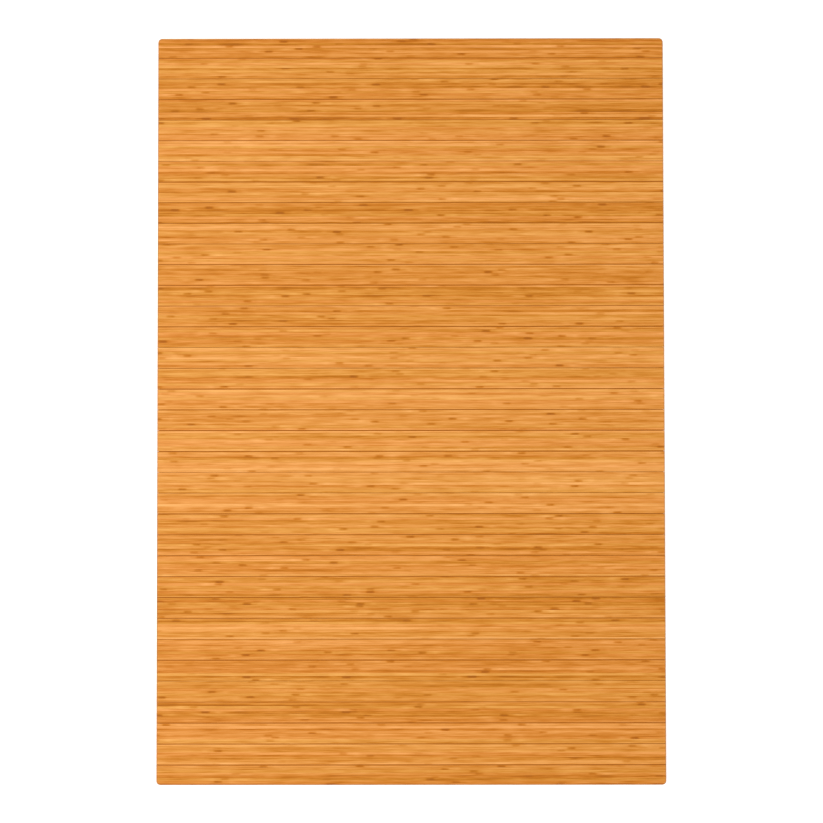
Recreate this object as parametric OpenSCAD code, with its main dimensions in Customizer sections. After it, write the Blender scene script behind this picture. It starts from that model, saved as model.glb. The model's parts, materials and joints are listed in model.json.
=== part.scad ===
// Roll-up bamboo chair mat. Bamboo slats lie side by side and are bonded to one thin,
// flexible backing sheet, so the mat lies flat under a chair and rolls up along its seams.
//
// Frame: the slats run along X, the mat's length runs along Y and +Z points up. The origin
// is at the middle of the underside. slat_01 is at the +Y end. The backing folds at each
// seam, about a line along X at z = 0.

/* [Mat] */
// Width of the mat, along the slats
mat_w = 1220; // [600:10:1800]
// Distance from one slat to the next
slat_pitch = 50; // [30:1:80]
// Thickness of the whole mat, backing included
mat_t = 6; // [5:0.5:12]
// Radius of the mat's four corners, seen from above
corner_r = 10; // [4:1:12]

/* [Slats] */
// Gap between two slats at a seam
seam_gap = 0.4; // [0.2:0.1:0.8]
// Width of the bevel on each side of a seam
seam_bevel = 0.5; // [0.2:0.1:1]
// Radius of the rounded edge around the top of the mat
edge_r = 1.5; // [0.5:0.25:2.5]
// How much narrower than the pitch the first and the last slat are
end_trim = 2; // [0:0.5:5]

/* [Backing] */
// Thickness of the backing sheet, and depth of the recess that holds it
backing_t = 0.8; // [0.4:0.1:1.5]
// Width of the rim that the recess leaves around the mat's underside
rim_w = 3; // [2:0.5:20]
// Gap between the rim and the edge of the backing sheet
backing_clear = 0.3; // [0.2:0.1:1]

/* [Hidden] */
slat_count = 36;
mat_l = slat_count * slat_pitch - 2 * end_trim;
slat_color = [0.89, 0.59, 0.28];
tone_count = 3;
tone_step = 0.05;
backing_color = [0.17, 0.15, 0.14];
min_corner_r = 1;
round_fn = 48;
// Extra length that lets a cutter pass clean through a face
over = 1;

// slat_01 for the first slat, slat_36 for the last
function slat_name(i) = str("slat_", i < 10 ? "0" : "", i);

// Place along Y of the seam after slat i; 0 and slat_count give the untrimmed ends
function seam_y(i) = (slat_count / 2 - i) * slat_pitch;

function slat_high(i) = i == 1 ? mat_l / 2 : seam_y(i - 1) - seam_gap / 2;
function slat_low(i) = i == slat_count ? -mat_l / 2 : seam_y(i) + seam_gap / 2;

// Neighbouring slats differ a little in tone
function slat_tone(i) = slat_color * (1 - tone_step * (i % tone_count));

// Square corner of side edge_r, less a quarter circle: what rounding takes off an edge.
// The kept material lies towards -X and -Y of the corner at the origin.
module edge_waste() {
    difference() {
        translate([-edge_r, -edge_r])
            square(edge_r + over);
        translate([-edge_r, -edge_r])
            circle(edge_r, $fn = round_fn);
    }
}

// Takes the top edge off the +X end of a slat, along the mat's whole length
module end_rounder() {
    translate([mat_w / 2, mat_l / 2 + over, mat_t])
        rotate([90, 0, 0])
            linear_extrude(mat_l + 2 * over)
                edge_waste();
}

// Takes the top edge off the mat's +Y side, along the mat's whole width
module side_rounder() {
    translate([mat_w / 2 + over, mat_l / 2, mat_t])
        rotate([90, 0, -90])
            linear_extrude(mat_w + 2 * over)
                mirror([1, 0])
                    edge_waste();
}

// A round disc with the corner's radius and a rounded top edge
module corner_disc() {
    rotate_extrude($fn = round_fn)
        difference() {
            translate([0, -over])
                square([corner_r, mat_t + over]);
            translate([corner_r, mat_t])
                edge_waste();
        }
}

// Takes off what lies outside the mat's corner at +X, +Y
module corner_rounder() {
    translate([mat_w / 2 - corner_r, mat_l / 2 - corner_r, 0])
        difference() {
            translate([0, 0, -over / 2])
                cube([corner_r + over, corner_r + over, mat_t + over]);
            corner_disc();
        }
}

// Rounds the mat's +Y side and the two corners at its ends
module outer_side_rounder() {
    side_rounder();
    for (side = [0, 1])
        mirror([side, 0, 0])
            corner_rounder();
}

// A bar on edge along a seam, which bevels the slats on both sides of it
module seam_beveller(i) {
    reach = seam_gap / 2 + seam_bevel;
    bar = reach * sqrt(2);
    translate([0, seam_y(i), mat_t])
        rotate([45, 0, 0])
            cube([mat_w + 2 * over, bar, bar], center = true);
}

// The mat's outline, drawn in by inset, with corners that stay parallel to the mat's
module inner_outline(inset) {
    w = mat_w - 2 * inset;
    l = mat_l - 2 * inset;
    r = max(corner_r - inset, min_corner_r);
    square([w - 2 * r, l], center = true);
    square([w, l - 2 * r], center = true);
    for (x = [-1, 1], y = [-1, 1])
        translate([x * (w / 2 - r), y * (l / 2 - r)])
            circle(r, $fn = round_fn);
}

// The shallow hollow in the underside that the backing sheet lies in
module backing_recess() {
    translate([0, 0, -over])
        linear_extrude(backing_t + over)
            inner_outline(rim_w);
}

module slat(i) {
    color(slat_tone(i))
        difference() {
            translate([-mat_w / 2, slat_low(i), 0])
                cube([mat_w, slat_high(i) - slat_low(i), mat_t]);
            backing_recess();
            for (side = [0, 1])
                mirror([side, 0, 0])
                    end_rounder();
            if (i == 1)
                outer_side_rounder();
            else
                seam_beveller(i - 1);
            if (i == slat_count)
                mirror([0, 1, 0])
                    outer_side_rounder();
            else
                seam_beveller(i);
        }
}

module backing() {
    color(backing_color)
        linear_extrude(backing_t)
            inner_outline(rim_w + backing_clear);
}

for (i = [1 : slat_count])
    slat(i);
backing();
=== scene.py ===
"""The looks of a roll-up bamboo chair mat: laminated bamboo slats on a flexible backing,
seen from above on a white ground. Units are metres, in the CAD frame: X along the slats,
Y along the mat with the first slat at +Y, Z up from the ground."""

import json
import math

import bmesh
import bpy
from mathutils import Matrix, Vector


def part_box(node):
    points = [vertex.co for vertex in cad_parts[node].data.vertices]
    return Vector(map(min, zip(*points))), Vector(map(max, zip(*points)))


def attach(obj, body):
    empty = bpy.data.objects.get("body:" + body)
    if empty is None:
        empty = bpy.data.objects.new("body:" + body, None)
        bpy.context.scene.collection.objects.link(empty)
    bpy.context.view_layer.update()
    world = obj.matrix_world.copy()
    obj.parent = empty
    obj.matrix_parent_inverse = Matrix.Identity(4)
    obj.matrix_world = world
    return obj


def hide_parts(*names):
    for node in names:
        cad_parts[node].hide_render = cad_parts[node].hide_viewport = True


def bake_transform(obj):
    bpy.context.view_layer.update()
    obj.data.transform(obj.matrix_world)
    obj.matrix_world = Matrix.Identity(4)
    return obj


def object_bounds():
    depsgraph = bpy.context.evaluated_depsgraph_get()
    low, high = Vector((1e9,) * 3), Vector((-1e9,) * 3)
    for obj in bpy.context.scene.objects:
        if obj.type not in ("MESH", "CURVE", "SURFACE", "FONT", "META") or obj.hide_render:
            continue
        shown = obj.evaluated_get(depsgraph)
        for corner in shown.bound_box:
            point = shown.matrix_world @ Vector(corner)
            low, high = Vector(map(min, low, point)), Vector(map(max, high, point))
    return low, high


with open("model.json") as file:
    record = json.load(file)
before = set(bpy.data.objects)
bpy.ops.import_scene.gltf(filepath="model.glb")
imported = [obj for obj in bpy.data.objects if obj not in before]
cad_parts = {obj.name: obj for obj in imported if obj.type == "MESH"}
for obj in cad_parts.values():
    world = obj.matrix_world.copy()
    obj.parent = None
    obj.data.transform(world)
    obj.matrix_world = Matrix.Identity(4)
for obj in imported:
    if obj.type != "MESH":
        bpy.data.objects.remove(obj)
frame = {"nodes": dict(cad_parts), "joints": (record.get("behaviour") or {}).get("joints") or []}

MM = 0.001

# ---------------------------------------------------------------- sizes

MAT_LOW, MAT_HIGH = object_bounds()
SLAT_NODES = sorted(name for name in frame["nodes"] if name.startswith("slat_"))
SEAM_Y = sorted((joint["pos_m"][1] for joint in frame["joints"]), reverse=True)
PITCH = SEAM_Y[0] - SEAM_Y[1]
FIRST_SEAM_LINE = SEAM_Y[0] + PITCH

CORNER_R = 10 * MM       # the mat's corners, seen from above
EDGE_R = 1.5 * MM        # rounding of the mat's top edge
SEAM_R = 0.5 * MM        # rounding of a slat's top edges along the seams
RIM_W = 3 * MM           # rim of bamboo around the backing, underneath
ARC_STEPS = 10           # steps around a rounded corner
EDGE_STEPS = 6           # rings on the rounded top edge
TINY = 0.001 * MM
FLAT_ENOUGH = 0.9999     # a face is flat where its normal lies this close to an axis


# ---------------------------------------------------------------- camera

# Place and turn were fitted to the mat's corners, sides and seams in the photo
CAMERA_LENS = 70
CAMERA_SENSOR = 36
CAMERA_PLACE = (0.0084, -0.0967, 3.8522)
CAMERA_TILT, CAMERA_PAN, CAMERA_ROLL = 1.372, 0.101, -0.065   # degrees from straight down


def make_camera():
    data = bpy.data.cameras.new("camera")
    data.lens = CAMERA_LENS
    data.sensor_width = CAMERA_SENSOR
    camera = bpy.data.objects.new("camera", data)
    turn = Matrix.Rotation(math.radians(CAMERA_TILT), 4, "X")
    turn @= Matrix.Rotation(math.radians(CAMERA_PAN), 4, "Y")
    turn @= Matrix.Rotation(math.radians(CAMERA_ROLL), 4, "Z")
    camera.matrix_world = Matrix.Translation(CAMERA_PLACE) @ turn
    bpy.context.scene.collection.objects.link(camera)
    bpy.context.scene.camera = camera


# ---------------------------------------------------------------- node graphs

NOISE_GAIN = 5.0     # Blender's noise keeps near 0.5: this spreads it from about -1 to 1


class Graph:
    """Builds the nodes of a material or a world. Most methods return an output socket."""

    def __init__(self, owner):
        self.owner = owner
        owner.use_nodes = True
        self.tree = owner.node_tree
        self.tree.nodes.clear()

    def node(self, kind, inputs=(), **settings):
        made = self.tree.nodes.new(kind)
        for name, value in settings.items():
            setattr(made, name, value)
        for name, value in dict(inputs).items():
            self.feed(made.inputs[name], value)
        return made

    def feed(self, socket, value):
        if isinstance(value, bpy.types.NodeSocket):
            self.tree.links.new(value, socket)
        else:
            socket.default_value = value

    def math(self, operation, *values, clamp=False):
        made = self.node("ShaderNodeMath", operation=operation, use_clamp=clamp)
        for socket, value in zip(made.inputs, values):
            self.feed(socket, value)
        return made.outputs[0]

    def add(self, *values):
        total = values[0]
        for value in values[1:]:
            total = self.math("ADD", total, value)
        return total

    def times(self, *values):
        total = values[0]
        for value in values[1:]:
            total = self.math("MULTIPLY", total, value)
        return total

    def minus(self, first, second):
        return self.math("SUBTRACT", first, second)

    def one_minus(self, value):
        return self.minus(1.0, value)

    def between(self, share, low, high):
        """low where share is 0, high where it is 1."""
        return self.add(low, self.times(share, high - low))

    def weighted(self, base, features, shares):
        """base, plus each feature that shares names, times its share."""
        return self.add(base, *(self.times(features[name], share)
                                for name, share in shares.items()))

    def vector(self, x=0.0, y=0.0, z=0.0):
        return self.node("ShaderNodeCombineXYZ", {"X": x, "Y": y, "Z": z}).outputs[0]

    def vector_math(self, operation, *vectors):
        made = self.node("ShaderNodeVectorMath", enumerate(vectors), operation=operation)
        return made.outputs["Value" if operation == "LENGTH" else "Vector"]

    def split(self, vector):
        return self.node("ShaderNodeSeparateXYZ", {"Vector": vector}).outputs

    def random(self, x, y=0.0, z=0.0):
        """Three independent numbers from 0 to 1 that depend only on x, y and z."""
        made = self.node("ShaderNodeTexWhiteNoise", {"Vector": self.vector(x, y, z)})
        return self.split(made.outputs["Color"])

    def noise(self, vector, detail=2.0, roughness=0.5):
        """Smooth noise about 0, mostly from -1 to 1."""
        inputs = {"Vector": vector, "Scale": 1.0, "Detail": detail, "Roughness": roughness}
        made = self.node("ShaderNodeTexNoise", inputs)
        return self.times(self.minus(made.outputs["Fac"], 0.5), NOISE_GAIN)

    def row_noise(self, x, row, waves, step, detail=2.0):
        """Noise along X of that many waves a metre. Neighbouring rows lie step apart in it."""
        return self.noise(self.vector(self.times(x, waves), self.times(row, step)), detail)

    def smooth(self, value, low, high):
        """0 where value is at low, 1 where it is at high, smooth between."""
        inputs = {"Value": value, "From Min": low, "From Max": high}
        made = self.node("ShaderNodeMapRange", inputs, interpolation_type="SMOOTHSTEP")
        return made.outputs["Result"]

    def bell(self, distance, width):
        """1 at distance 0, falling to a quarter at one width."""
        ratio = self.math("DIVIDE", distance, width)
        base = self.add(self.times(ratio, ratio), 1.0)
        return self.math("POWER", base, -2.0)

    def mix(self, factor, first, second, blend="MIX"):
        made = self.node("ShaderNodeMix", data_type="RGBA", blend_type=blend)
        # A color mix has its factor in socket 0 and its colors in sockets 6 and 7
        self.feed(made.inputs[0], factor)
        self.feed(made.inputs[6], first)
        self.feed(made.inputs[7], second)
        return made.outputs[2]

    def ramp(self, factor, stops):
        made = self.node("ShaderNodeValToRGB", {"Fac": factor})
        points = made.color_ramp.elements
        while len(points) < len(stops):
            points.new(1.0)
        for point, (place, color) in zip(points, stops):
            point.position = place
            point.color = (*color, 1)
        return made.outputs["Color"]

    def finish(self, shader):
        is_world = isinstance(self.owner, bpy.types.World)
        output = "ShaderNodeOutputWorld" if is_world else "ShaderNodeOutputMaterial"
        self.node(output, {"Surface": shader.outputs[0]})
        return self.owner


def material_graph(name):
    return Graph(bpy.data.materials.new(name))


# ---------------------------------------------------------------- bamboo: sizes and seeds

STRIPS_PER_SLAT = 8
STRIP_WIDTH = PITCH / STRIPS_PER_SLAT
STRIP_STEP = 20.0            # keeps the strips' numbers apart from one slat to the next

NODE_PITCH = 0.27            # from one growth node to the next along a strip
NODE_PHASES = 9.0            # over how many pitches the strips start at random
NODE_PLACE = (0.25, 0.75)    # where in its pitch a node may be
NODE_CORE = 14 * MM          # half-length of a node's dark core
NODE_HEART = 0.3             # share of the core that is fully dark
NODE_TAIL = 20 * MM          # half-length of the stain beside the core
TAIL_STRENGTH = 0.5
NODE_BEND = 0.4 * MM         # how far the fibres swerve at a node
NODE_CONTRAST = 1.4          # above 1, most nodes are faint and a few are dark
RIDGE_PLACE = 2.2 * NODE_CORE    # on the side without the stain
LENS_PLACE = (0.3, 0.7)      # where across its strip a node's lens shape may be
LENS_HALF = (0.3, 0.65)      # in strip widths: full up to the first, none past the second

FIBRE_WANDER = 0.15 * MM     # how far the fibres stray sideways

GLUE_LINE = 0.5 * MM         # half-width of the glue between two strips
GLUE_HEART = 0.3             # share of it that is fully dark
GLUE_LEVEL = (0.25, 1.0)     # how dark the glue is, from its palest to its darkest patches
GLUE_PATCH_EDGES = (-0.3, 0.8)   # the noise that makes the palest and the darkest

# Each seam's edges are darkened: partly a real stain, partly painted shade of the groove between
# the slats.
SEAM_STAIN_AND_SHADE = (0.6 * MM, 2.2 * MM)   # from a seam: full up to the first, none past the second
SEAM_LEVEL = (0.26, 1.11)    # the strength of the stain and painted shade, from the faintest seam to the strongest
SEAM_PATCH_LEVEL = 0.25      # how much it changes along a seam
SEAM_HIGHLIGHT_PLACE = 2.6 * MM      # from a seam to the painted highlight line beside it
SEAM_HIGHLIGHT_HALF = 1.2 * MM

RIM_STAIN_AND_SHADE_REACH = 3.6 * MM         # how far the darkening, part stain and part painted shade, reaches in from the mat's outer edge
RIM_LEVEL = 0.8

END_SLOPE = (0.6, 0.9)       # how far a face must turn towards X to count as a cut end
END_DARKENING = 0.35
BUNDLES_PER_METRE = 1300.0   # fibre bundles across a cut end
BUNDLE_SHUFFLE = 0.9
BUNDLE_EDGES = (0.15, 0.5)   # in cells from a bundle's middle: dark up to the first, then fading
BUNDLE_LEVEL = 0.75

# Each feature draws its random numbers with its own seed. The strip, slat and seam seeds were
# found by a search, so that the lighter and darker slats and seams come in nearly the same
# order as in the photo. With other seeds only that order and the places of marks change.
PHASE_SEED, SLAT_SEED, SEAM_SEED = 0.5, 436482, 2881723
STRIP_SEED, SIDE_SEED, NODE_SEED = 2984, 2.5, 3.5

# Noise along a strip or a seam: waves per metre, and the step from one row to the next
SLOW = (1.6, 7.3)
BLOTCHES = (14.0, 5.7)
WANDER = (3.0, 1.0)
GLUE_PATCHES = (9.0, 1.0)
SEAM_PATCHES = (11.0, 5.1)

# Grain: waves per metre along the fibres and across them
BANDS = (1.3, 110.0)
STREAKS = (3.5, 330.0)
THREADS = (18.0, 700.0)
PORES = (80.0, 4000.0)
FIBRE_STEP = 3.7             # keeps one strip's fibres unlike the next one's

# ---------------------------------------------------------------- bamboo: colours and shares

# Lacquered bamboo from its darkest tone, 0, to its lightest, 1
BAMBOO_TONES = [
    (0.00, (0.360, 0.096, 0.000)),
    (0.15, (0.455, 0.134, 0.000)),
    (0.32, (0.555, 0.186, 0.013)),
    (0.55, (0.656, 0.256, 0.042)),
    (0.78, (0.746, 0.324, 0.076)),
    (1.00, (0.835, 0.394, 0.114)),
]
GLUE_BROWN = (0.30, 0.070, 0.002, 1)
# Seam brown: partly real stain, partly painted shade of the groove
SEAM_STAIN_AND_SHADE_BROWN = (0.43, 0.118, 0.000, 1)
# Rim brown: partly a real darker edge, partly painted shade of the rounded edge
RIM_STAIN_AND_SHADE_BROWN = (0.36, 0.190, 0.085, 1)
REDDER = (1.0, 0.84, 0.85, 1)
YELLOWER = (0.90, 1.0, 0.60, 1)
HUE_SPREAD = 0.75
GLUE_MIX = 0.7

# Most strips are close to the mean tone, and a few are far from it
NEAR_SPREAD, FAR_SPREAD = 0.5, 4.4

MIDDLE_TONE = 0.53
TONE_SHARES = {
    "strip": 0.26,
    "dense_side": 0.14,
    "slat": 0.20,
    "slow": 0.10,
    "blotches": 0.11,
    "bands": 0.085,
    "streaks": 0.13,
    "threads": 0.17,
    "pores": 0.06,
    "ridge": 0.16,
    "sanded": 0.18,
    # painted highlight beside the seams
    "node_mark": -0.31,
}
HEIGHT_SHARES = {"threads": 0.35, "pores": 0.5, "node_mark": -0.8, "glue": -1.0}
BUMP_STRENGTH, BUMP_HEIGHT = 0.35, 0.06 * MM
LACQUER_ROUGHNESS = 0.46
ROUGHNESS_SHARES = {"pores": 0.05, "node_mark": 0.15, "cut_end": 0.2}
LACQUER_SPECULAR = 0.22


# ---------------------------------------------------------------- bamboo: features

def place_in_slats(g, y):
    """A whole number at each seam, rising by 1 from each slat to the next."""
    return g.math("DIVIDE", g.minus(FIRST_SEAM_LINE, y), PITCH)


class StripRows:
    """Which slat a point is on and which strip of it, how far across each, and the strip's
    random numbers. side is 1 or -1: the way the strip's outer side faces."""

    def __init__(self, g, y):
        self.slat_place = place_in_slats(g, y)
        self.slat = g.math("FLOOR", self.slat_place)
        self.slat_share = g.math("FRACT", self.slat_place)
        phase = g.random(self.slat, PHASE_SEED)[0]
        strip_place = g.add(g.times(self.slat_share, STRIPS_PER_SLAT), phase)
        self.strip = g.add(g.math("FLOOR", strip_place), g.times(self.slat, STRIP_STEP))
        self.strip_share = g.math("FRACT", strip_place)
        self.draws = g.random(self.strip, STRIP_SEED)
        self.side = g.math("SIGN", g.minus(g.random(self.strip, SIDE_SEED)[0], 0.5))


def to_nearest_edge(g, share):
    """How far a point is from the nearer edge, where share runs from 0 at one to 1 at the other."""
    return g.math("MINIMUM", share, g.one_minus(share))


def strip_tones(g, rows):
    """Slats and strips differ in tone, and a strip is darker where its fibres are denser."""
    off_mean = g.minus(rows.draws[0], 0.5)
    return {
        "slat": g.minus(g.random(rows.slat, SLAT_SEED)[1], 0.5),
        "strip": g.times(off_mean, g.add(NEAR_SPREAD, g.times(off_mean, off_mean, FAR_SPREAD))),
        "dense_side": g.times(g.minus(rows.strip_share, 0.5), rows.side),
    }


def growth_nodes(g, x, rows):
    """Growth nodes, at uneven places along a strip: a dark core with a stain on one side, a
    pale ridge on the other, and fibres that bend round them."""
    node_place = g.add(g.math("DIVIDE", x, NODE_PITCH), g.times(rows.draws[2], NODE_PHASES))
    draws = g.random(rows.strip, g.math("FLOOR", node_place), NODE_SEED)
    middle = g.between(draws[0], *NODE_PLACE)
    from_node = g.times(g.minus(g.math("FRACT", node_place), middle), NODE_PITCH)
    along = g.times(from_node, rows.side)

    off_middle = g.math("ABSOLUTE", g.minus(rows.strip_share, g.between(draws[2], *LENS_PLACE)))
    lens = g.one_minus(g.smooth(off_middle, *LENS_HALF))
    from_core = g.math("ABSOLUTE", along)
    core = g.times(g.one_minus(g.smooth(from_core, NODE_HEART * NODE_CORE, NODE_CORE)), lens)
    tail = g.times(g.bell(along, NODE_TAIL), g.smooth(along, -NODE_CORE, NODE_CORE), lens)

    strength = g.math("POWER", draws[1], NODE_CONTRAST)
    return {
        "node_mark": g.times(g.add(core, g.times(tail, TAIL_STRENGTH)), strength),
        "ridge": g.times(g.bell(g.add(along, RIDGE_PLACE), NODE_CORE), strength),
        "bend": g.times(g.bell(from_node, NODE_TAIL), strength, NODE_BEND),
    }


def grain(g, x, y, z, rows, bend):
    """Tones that change along the strips, and fibres, which run along them."""
    wander = g.times(g.row_noise(x, rows.strip, *WANDER), FIBRE_WANDER)
    fibre_y = g.add(y, bend, wander)
    fibre_seed = g.times(rows.strip, FIBRE_STEP)

    def fibres(along, across, detail=2.0):
        return g.noise(g.vector(
            g.add(g.times(x, along), fibre_seed),
            g.times(fibre_y, across),
            g.times(z, across),
        ), detail)

    bands_along, bands_across = BANDS
    return {
        "slow": g.row_noise(x, rows.strip, *SLOW, detail=1.0),
        "blotches": g.row_noise(x, rows.strip, *BLOTCHES, detail=1.0),
        "bands": g.noise(g.vector(g.times(x, bands_along), g.times(y, bands_across)), 1.0),
        "streaks": fibres(*STREAKS),
        "threads": fibres(*THREADS),
        "pores": fibres(*PORES, detail=1.0),
    }


def glue_lines(g, x, rows):
    """The glue between two strips, darker in some places than in others."""
    to_glue = g.times(to_nearest_edge(g, rows.strip_share), STRIP_WIDTH)
    line = g.one_minus(g.smooth(to_glue, GLUE_HEART * GLUE_LINE, GLUE_LINE))
    patches = g.smooth(g.row_noise(x, rows.strip, *GLUE_PATCHES), *GLUE_PATCH_EDGES)
    return {"glue": g.times(line, rows.draws[0], g.between(patches, *GLUE_LEVEL))}


def seam_marks(g, x, rows):
    """The slats' edges along a seam: darkened, partly by a real stain and partly as painted shade
    of the groove, with a painted highlight line just inside.
    """
    to_seam = g.times(to_nearest_edge(g, rows.slat_share), PITCH)
    seam = g.math("ROUND", rows.slat_place)
    draws = g.random(seam, SEAM_SEED)
    patches = g.times(g.row_noise(x, seam, *SEAM_PATCHES), SEAM_PATCH_LEVEL)
    level = g.add(g.between(draws[0], *SEAM_LEVEL), patches)
    near = g.one_minus(g.smooth(to_seam, *SEAM_STAIN_AND_SHADE))
    return {
        # darker seam edges: real stain and painted groove shade
        "stained": g.math("MULTIPLY", near, level, clamp=True),
        # painted highlight line beside the seam
        "sanded": g.times(g.bell(g.minus(to_seam, SEAM_HIGHLIGHT_PLACE), SEAM_HIGHLIGHT_HALF), draws[1]),
    }


def rim_stain_and_shade(g, x, y):
    """1 on the mat's rounded outer edge, falling to 0 inside it. It drives a darker rim, partly a
    real darker edge and partly painted shade of the rounded edge.
    """
    inside = g.vector(MAT_HIGH.x - CORNER_R, MAT_HIGH.y - CORNER_R)
    place = g.vector(g.math("ABSOLUTE", x), g.math("ABSOLUTE", y))
    beyond = g.vector_math("MAXIMUM", g.vector_math("SUBTRACT", place, inside))
    to_rim = g.minus(CORNER_R, g.vector_math("LENGTH", beyond))
    return g.one_minus(g.smooth(to_rim, 0.0, RIM_STAIN_AND_SHADE_REACH))


def cut_end_share(g):
    """1 on the slats' cut ends, 0 on their other faces."""
    normal = g.split(g.node("ShaderNodeTexCoord").outputs["Normal"])
    return g.smooth(g.math("ABSOLUTE", normal[0]), *END_SLOPE)


# ---------------------------------------------------------------- bamboo: material

def strip_color(g, rows, features):
    """The colour of the bare strips, with their glue, and the stain and painted groove shade along
    the seams.
    """
    color = g.ramp(g.weighted(MIDDLE_TONE, features, TONE_SHARES), BAMBOO_TONES)
    hue = g.minus(rows.draws[1], 0.5)
    for amount, tint in ((hue, REDDER), (g.times(hue, -1.0), YELLOWER)):
        tinted = g.times(g.math("MAXIMUM", amount, 0.0), HUE_SPREAD)
        color = g.mix(tinted, color, tint, "MULTIPLY")
    color = g.mix(g.times(features["glue"], GLUE_MIX), color, GLUE_BROWN)
    # seam edges darkened: real stain and painted shade of the groove
    return g.mix(features["stained"], color, SEAM_STAIN_AND_SHADE_BROWN)


def end_grain_color(g, y, z, color):
    """Cut ends are darker, and show the ends of the fibre bundles."""
    bundles = g.node("ShaderNodeTexVoronoi", {
        "Vector": g.vector(0.0, y, z),
        "Scale": BUNDLES_PER_METRE,
        "Randomness": BUNDLE_SHUFFLE,
    })
    dark = g.one_minus(g.smooth(bundles.outputs["Distance"], *BUNDLE_EDGES))
    darkened = g.mix(END_DARKENING, color, GLUE_BROWN)
    return g.mix(g.times(dark, BUNDLE_LEVEL), darkened, GLUE_BROWN)


def bamboo_material():
    g = material_graph("bamboo")
    x, y, z = g.split(g.node("ShaderNodeTexCoord").outputs["Object"])
    rows = StripRows(g, y)
    features = growth_nodes(g, x, rows)
    features.update(strip_tones(g, rows))
    features.update(grain(g, x, y, z, rows, features["bend"]))
    features.update(glue_lines(g, x, rows))
    features.update(seam_marks(g, x, rows))
    features["cut_end"] = cut_end_share(g)

    bare = strip_color(g, rows, features)
    # darker rim: part real edge stain, part painted shade
    rimmed = g.mix(g.times(rim_stain_and_shade(g, x, y), RIM_LEVEL), bare, RIM_STAIN_AND_SHADE_BROWN)
    bump = g.node("ShaderNodeBump", {
        "Height": g.weighted(0.0, features, HEIGHT_SHARES),
        "Strength": BUMP_STRENGTH,
        "Distance": BUMP_HEIGHT,
    })
    return g.finish(g.node("ShaderNodeBsdfPrincipled", {
        "Base Color": g.mix(features["cut_end"], rimmed, end_grain_color(g, y, z, bare)),
        "Roughness": g.weighted(LACQUER_ROUGHNESS, features, ROUGHNESS_SHARES),
        "Normal": bump.outputs[0],
        "Specular IOR Level": LACQUER_SPECULAR,
    }))


# ---------------------------------------------------------------- backing felt

FELT_DARK = (0.018, 0.015, 0.013)
FELT_LIGHT = (0.060, 0.052, 0.046)
CREASE_HALF = 1.2 * MM

# Waves per metre along X, Y and Z
TUFTS = (900.0, 900.0, 900.0)
HAIRS_ALONG_X = (500.0, 4500.0, 900.0)
HAIRS_ALONG_Y = (4500.0, 500.0, 900.0)
CLOUDS = (22.0, 22.0, 0.0)

FELT_MIDDLE = 0.48
FELT_SHARES = {"tufts": 0.22, "hairs": 0.28, "clouds": 0.10, "crease": -0.40}


def felt_material():
    """Dark felt, which goes by its place at rest, so that it follows the sheet when it bends."""
    g = material_graph("backing_felt")
    rest = g.node("ShaderNodeAttribute", attribute_name="rest_place").outputs["Vector"]

    def felt_noise(waves, detail, roughness=0.5):
        return g.noise(g.vector_math("MULTIPLY", rest, waves), detail, roughness)

    # The sheet has a faint crease at each seam, bumped in and painted darker as shade
    slat_place = place_in_slats(g, g.split(rest)[1])
    to_seam = g.times(g.minus(slat_place, g.math("ROUND", slat_place)), PITCH)

    hairs = g.math("MAXIMUM", felt_noise(HAIRS_ALONG_X, 2.0), felt_noise(HAIRS_ALONG_Y, 2.0))
    features = {
        "tufts": felt_noise(TUFTS, 4.0, 0.65),
        "hairs": hairs,
        "clouds": felt_noise(CLOUDS, 3.0),
        # painted shade along the crease
        "crease": g.bell(to_seam, CREASE_HALF),
    }
    level = g.weighted(FELT_MIDDLE, features, FELT_SHARES)
    bump = g.node("ShaderNodeBump", {"Height": level, "Strength": 0.8, "Distance": 0.25 * MM})
    return g.finish(g.node("ShaderNodeBsdfPrincipled", {
        "Base Color": g.ramp(level, [(0.0, FELT_DARK), (1.0, FELT_LIGHT)]),
        "Roughness": 0.95,
        "Specular IOR Level": 0.2,
        "Sheen Weight": 0.15,
        "Sheen Roughness": 0.5,
        "Normal": bump.outputs[0],
    }))


# ---------------------------------------------------------------- mesh helpers

def to_data(mesh, name):
    """Turns a bmesh into mesh data, and frees it."""
    mesh_data = bpy.data.meshes.new(name)
    mesh.to_mesh(mesh_data)
    mesh.free()
    return mesh_data


def link_mesh(name, mesh_data, material):
    piece = bpy.data.objects.new(name, mesh_data)
    piece.data.materials.append(material)
    bpy.context.scene.collection.objects.link(piece)
    return piece


def arc(centre_x, centre_y, radius, start_deg):
    """Points on a quarter circle, turning anticlockwise from start_deg."""
    points = []
    for step in range(ARC_STEPS + 1):
        turn = math.radians(start_deg + 90 * step / ARC_STEPS)
        points.append((centre_x + radius * math.cos(turn), centre_y + radius * math.sin(turn)))
    return points


def outline(low, high, radius, round_low, round_high):
    """A rectangle's points, anticlockwise, with its low or high Y corners rounded if asked."""
    x0, y0, x1, y1 = low[0], low[1], high[0], high[1]
    points = []
    if round_low:
        points += arc(x0 + radius, y0 + radius, radius, 180)
        points += arc(x1 - radius, y0 + radius, radius, 270)
    else:
        points += [(x0, y0), (x1, y0)]
    if round_high:
        points += arc(x1 - radius, y1 - radius, radius, 0)
        points += arc(x0 + radius, y1 - radius, radius, 90)
    else:
        points += [(x1, y1), (x0, y1)]
    return points


def at_heights(points, *heights):
    """The same ring of points at each height."""
    return [[(x, y, z) for x, y in points] for z in heights]


def edge_inset(z, top, radius):
    """How far a rounded top edge stands back at height z."""
    up = z - (top - radius)
    if up <= 0:
        return 0.0
    return radius - math.sqrt(max(radius ** 2 - up ** 2, 0.0))


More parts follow.
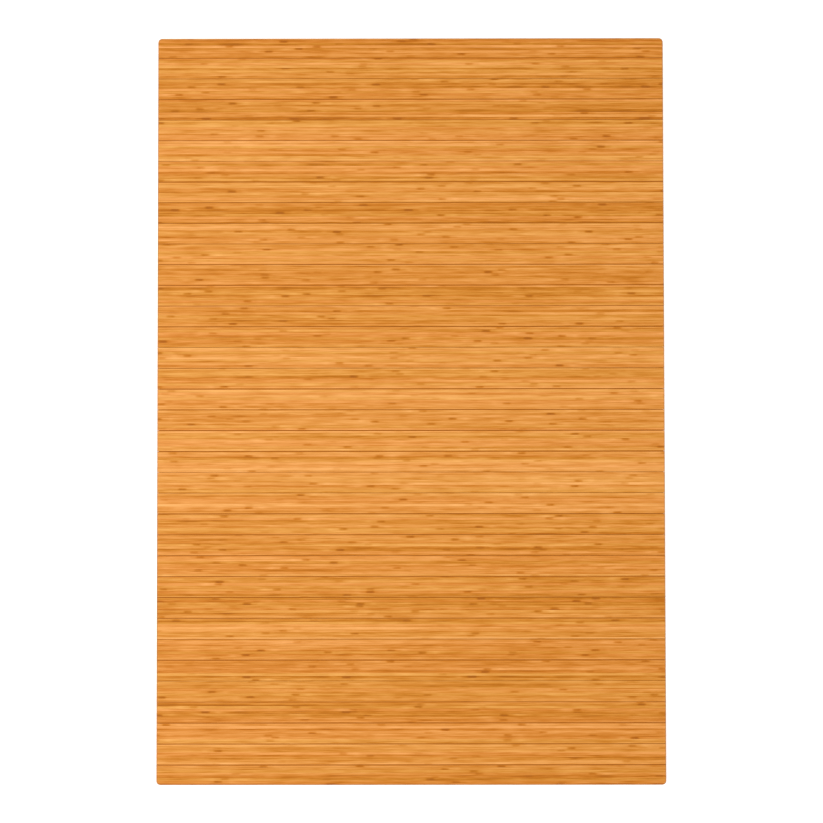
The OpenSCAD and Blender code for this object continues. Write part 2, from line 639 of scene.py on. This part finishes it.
def stack_rings(mesh, rings):
    """Joins rings of equal length into a closed solid, and returns its top face."""
    rows = [[mesh.verts.new(point) for point in ring] for ring in rings]
    for below, above in zip(rows, rows[1:]):
        for i in range(len(below)):
            j = (i + 1) % len(below)
            mesh.faces.new((below[i], below[j], above[j], above[i]))
    mesh.faces.new(list(reversed(rows[0])))
    return mesh.faces.new(rows[-1])


def flatten_true_faces(mesh_data):
    """Smooth shading on the roundings only."""
    for face in mesh_data.polygons:
        face.use_smooth = max(abs(component) for component in face.normal) < FLAT_ENOUGH


# ---------------------------------------------------------------- slats

def is_outer(y):
    return min(abs(y - MAT_LOW.y), abs(y - MAT_HIGH.y)) < TINY


def slat_mesh(low, high):
    """A slat with a small round along its seams and a larger one around the mat's edge."""
    round_low, round_high = is_outer(low.y), is_outer(high.y)
    top = high.z
    heights = [low.z, top - EDGE_R]
    heights += [top - EDGE_R * (1 - math.sin(math.radians(90 * k / EDGE_STEPS)))
                for k in range(1, EDGE_STEPS + 1)]
    rings = []
    for z in heights:
        end = edge_inset(z, top, EDGE_R)
        seam = edge_inset(z, top, SEAM_R)
        inner_low = (low.x + end, low.y + (end if round_low else seam))
        inner_high = (high.x - end, high.y - (end if round_high else seam))
        around = outline(inner_low, inner_high, CORNER_R - end, round_low, round_high)
        rings += at_heights(around, z)
    mesh = bmesh.new()
    stack_rings(mesh, rings)
    return to_data(mesh, "slat")


def recess_cutter():
    """The space that the backing lies in, as a solid to take off the slats' undersides."""
    low = (MAT_LOW.x + RIM_W, MAT_LOW.y + RIM_W)
    high = (MAT_HIGH.x - RIM_W, MAT_HIGH.y - RIM_W)
    around = outline(low, high, CORNER_R - RIM_W, True, True)
    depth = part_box("backing")[1].z
    mesh = bmesh.new()
    stack_rings(mesh, at_heights(around, -depth, depth))
    cutter = bpy.data.objects.new("recess", to_data(mesh, "recess"))
    bpy.context.scene.collection.objects.link(cutter)
    return cutter


def carve(piece, cutter):
    cut = piece.modifiers.new("recess", "BOOLEAN")
    cut.operation = "DIFFERENCE"
    cut.object = cutter
    cut.solver = "EXACT"
    shown = piece.evaluated_get(bpy.context.evaluated_depsgraph_get())
    carved = bpy.data.meshes.new_from_object(shown)
    piece.modifiers.clear()
    piece.data = carved


def make_slats(material):
    cutter = recess_cutter()
    for name in SLAT_NODES:
        piece = link_mesh("bamboo_" + name, slat_mesh(*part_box(name)), material)
        carve(piece, cutter)
        flatten_true_faces(piece.data)
        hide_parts(name)
        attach(piece, name)
    bpy.data.objects.remove(cutter)


# ---------------------------------------------------------------- backing

FOLD_HALF = 2 * MM     # the backing bends within this distance of a seam
FOLD_STEPS = 8


def backing_mesh(low, high, seam, round_low, round_high, radius):
    """One stretch of the backing sheet, with cross lines where it folds."""
    around = outline(low, high, radius, round_low, round_high)
    mesh = bmesh.new()
    stack_rings(mesh, at_heights(around, low.z, high.z))
    for step in range(FOLD_STEPS + 1):
        y = seam + FOLD_HALF * (1 - 2 * step / FOLD_STEPS)
        parts = mesh.verts[:] + mesh.edges[:] + mesh.faces[:]
        bmesh.ops.bisect_plane(mesh, geom=parts, plane_co=(0, y, 0), plane_no=(0, 1, 0))
    mesh_data = to_data(mesh, "backing")
    rest = mesh_data.attributes.new("rest_place", "FLOAT_VECTOR", "POINT")
    for vertex in mesh_data.vertices:
        rest.data[vertex.index].vector = vertex.co
    return mesh_data


def make_backing(material):
    """The sheet is made as one stretch per seam, from mid-slat to mid-slat."""
    sheet_low, sheet_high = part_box("backing")
    radius = CORNER_R - (sheet_low.x - MAT_LOW.x)
    for index, seam in enumerate(SEAM_Y):
        first, last = index == 0, index == len(SEAM_Y) - 1
        low = sheet_low.copy()
        high = sheet_high.copy()
        if not last:
            low.y = seam - PITCH / 2
        if not first:
            high.y = seam + PITCH / 2
        mesh_data = backing_mesh(low, high, seam, last, first, radius)
        piece = link_mesh(f"backing_stretch_{index + 1:02d}", mesh_data, material)
        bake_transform(piece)
        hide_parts("backing")


# ---------------------------------------------------------------- ground

GROUND_HALF = 8.0
GROUND_WHITE, GROUND_GLOW = 0.9, 0.4
WELL_DEPTH = 0.95       # room for the mat where it bends down below the ground
WELL_GAP = 0.3 * MM
WELL_WHITE, WELL_GLOW = 0.2, 1.0


def plain_material(name, level, glow):
    g = material_graph(name)
    return g.finish(g.node("ShaderNodeBsdfPrincipled", {
        "Base Color": (level, level, level, 1),
        "Roughness": 0.9,
        "Specular IOR Level": 0.1,
        "Emission Color": (1, 1, 1, 1),
        "Emission Strength": glow,
    }))


def ground_mesh(mouth):
    """A flat square with a hole that has the outline mouth."""
    mesh = bmesh.new()
    inner = [mesh.verts.new((x, y, 0)) for x, y in mouth]
    outer = [mesh.verts.new((GROUND_HALF * side_x, GROUND_HALF * side_y, 0))
             for side_x, side_y in ((-1, -1), (1, -1), (1, 1), (-1, 1))]
    edges = []
    for loop in (inner, outer):
        edges += [mesh.edges.new((loop[i - 1], loop[i])) for i in range(len(loop))]
    bmesh.ops.triangle_fill(mesh, edges=edges, use_beauty=True)
    return to_data(mesh, "ground")


def well_mesh(mouth):
    """A pit under the outline mouth, open at the top."""
    mesh = bmesh.new()
    lid = stack_rings(mesh, at_heights(mouth, -WELL_DEPTH, 0))
    mesh.faces.remove(lid)
    return to_data(mesh, "well")


def make_ground():
    """A white ground, with a bright well the shape of the mat underneath it. The mat covers
    the well at rest, and a part of it that bends down hangs into the well and stays in view."""
    low = (MAT_LOW.x - WELL_GAP, MAT_LOW.y - WELL_GAP)
    high = (MAT_HIGH.x + WELL_GAP, MAT_HIGH.y + WELL_GAP)
    mouth = outline(low, high, CORNER_R + WELL_GAP, True, True)
    ground_white = plain_material("ground_white", GROUND_WHITE, GROUND_GLOW)
    well_white = plain_material("well_white", WELL_WHITE, WELL_GLOW)
    ground = link_mesh("ground", ground_mesh(mouth), ground_white)
    well = link_mesh("well", well_mesh(mouth), well_white)


# ---------------------------------------------------------------- light

# Brightness of the studio walls and ceiling, by the sine of the height above the horizon.
# The ceiling above the camera is dim, so that the mat shows no glare from above.
DOME_PEAK = 1.25
DOME = [(0.0, 0.85), (0.35, 0.9), (0.65, 1.0), (0.85, 0.62), (1.0, 0.32)]

# Name, place and power in watts. Both face the origin.
SOFTBOXES = [
    ("softbox_left", (-4.0, -0.5, 3.2), 130),
    ("softbox_right", (4.0, -0.5, 3.2), 6),
]
SOFTBOX_SIZE = (4.0, 5.0)


def make_dome():
    g = Graph(bpy.data.worlds.new("studio"))
    height = g.split(g.node("ShaderNodeTexCoord").outputs["Generated"])[2]
    dome = g.ramp(height, [(place, (level,) * 3) for place, level in DOME])
    bpy.context.scene.world = g.finish(
        g.node("ShaderNodeBackground", {"Color": dome, "Strength": DOME_PEAK}))


def make_softboxes():
    for name, place, power in SOFTBOXES:
        data = bpy.data.lights.new(name, "AREA")
        data.shape = "RECTANGLE"
        data.size, data.size_y = SOFTBOX_SIZE
        data.energy = power
        softbox = bpy.data.objects.new(name, data)
        facing = (-Vector(place)).to_track_quat("-Z", "Y")
        softbox.matrix_world = Matrix.Translation(place) @ facing.to_matrix().to_4x4()
        bpy.context.scene.collection.objects.link(softbox)


# ---------------------------------------------------------------- build

bpy.context.scene.view_settings.view_transform = "Standard"
make_camera()
make_dome()
make_softboxes()
make_ground()
make_slats(bamboo_material())
make_backing(felt_material())
